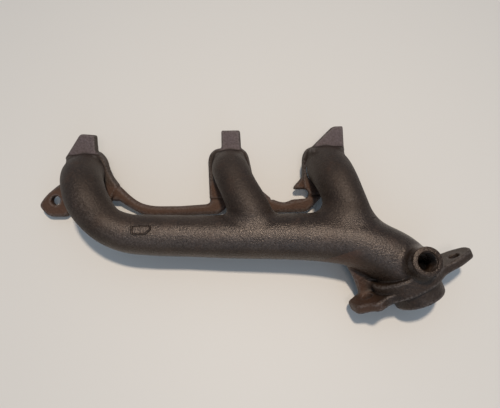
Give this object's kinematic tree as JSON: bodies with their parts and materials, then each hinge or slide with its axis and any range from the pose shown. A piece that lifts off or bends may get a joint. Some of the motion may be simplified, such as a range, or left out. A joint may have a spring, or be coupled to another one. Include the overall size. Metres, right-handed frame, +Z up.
{
  "type": "exhaust manifold",
  "caption": "Cast-iron exhaust manifold for one bank of a V engine: curved runners feed a log that ends in a bolted outlet flange, with a threaded sensor boss.",
  "frame": {"origin": "centre of the bounding box on the surface that the manifold lies on", "axes": "+X along the row of ports from front to rear, +Z up from the surface it lies on, +Y towards the raised tabs; the port faces look down and back"},
  "size_m": [0.4634, 0.2134, 0.0863],
  "materials": {
    "dark_iron": "as-cast iron, dark brown grey and granular",
    "rust_iron": "as-cast iron with a thin reddish rust bloom"
  },
  "bodies": {
    "root": {"port_flange_front": "dark_iron", "port_flange_middle": "dark_iron", "port_flange_rear": "dark_iron", "flange_tab_front": "dark_iron", "flange_tab_middle": "dark_iron", "flange_tab_rear": "dark_iron", "rail_front": "rust_iron", "rail_rear": "rust_iron", "mounting_ear": "dark_iron", "slot_finger": "dark_iron", "runner_front": "dark_iron", "log_front": "dark_iron", "log_middle": "dark_iron", "log_rear": "dark_iron", "runner_middle": "dark_iron", "outlet_flange": "dark_iron", "outlet_seat": "dark_iron", "sensor_boss": "dark_iron", "outlet_elbow": "dark_iron", "runner_rear": "dark_iron", "outlet_web": "rust_iron", "casting_pad": "dark_iron"}
  },
  "joints": []
}
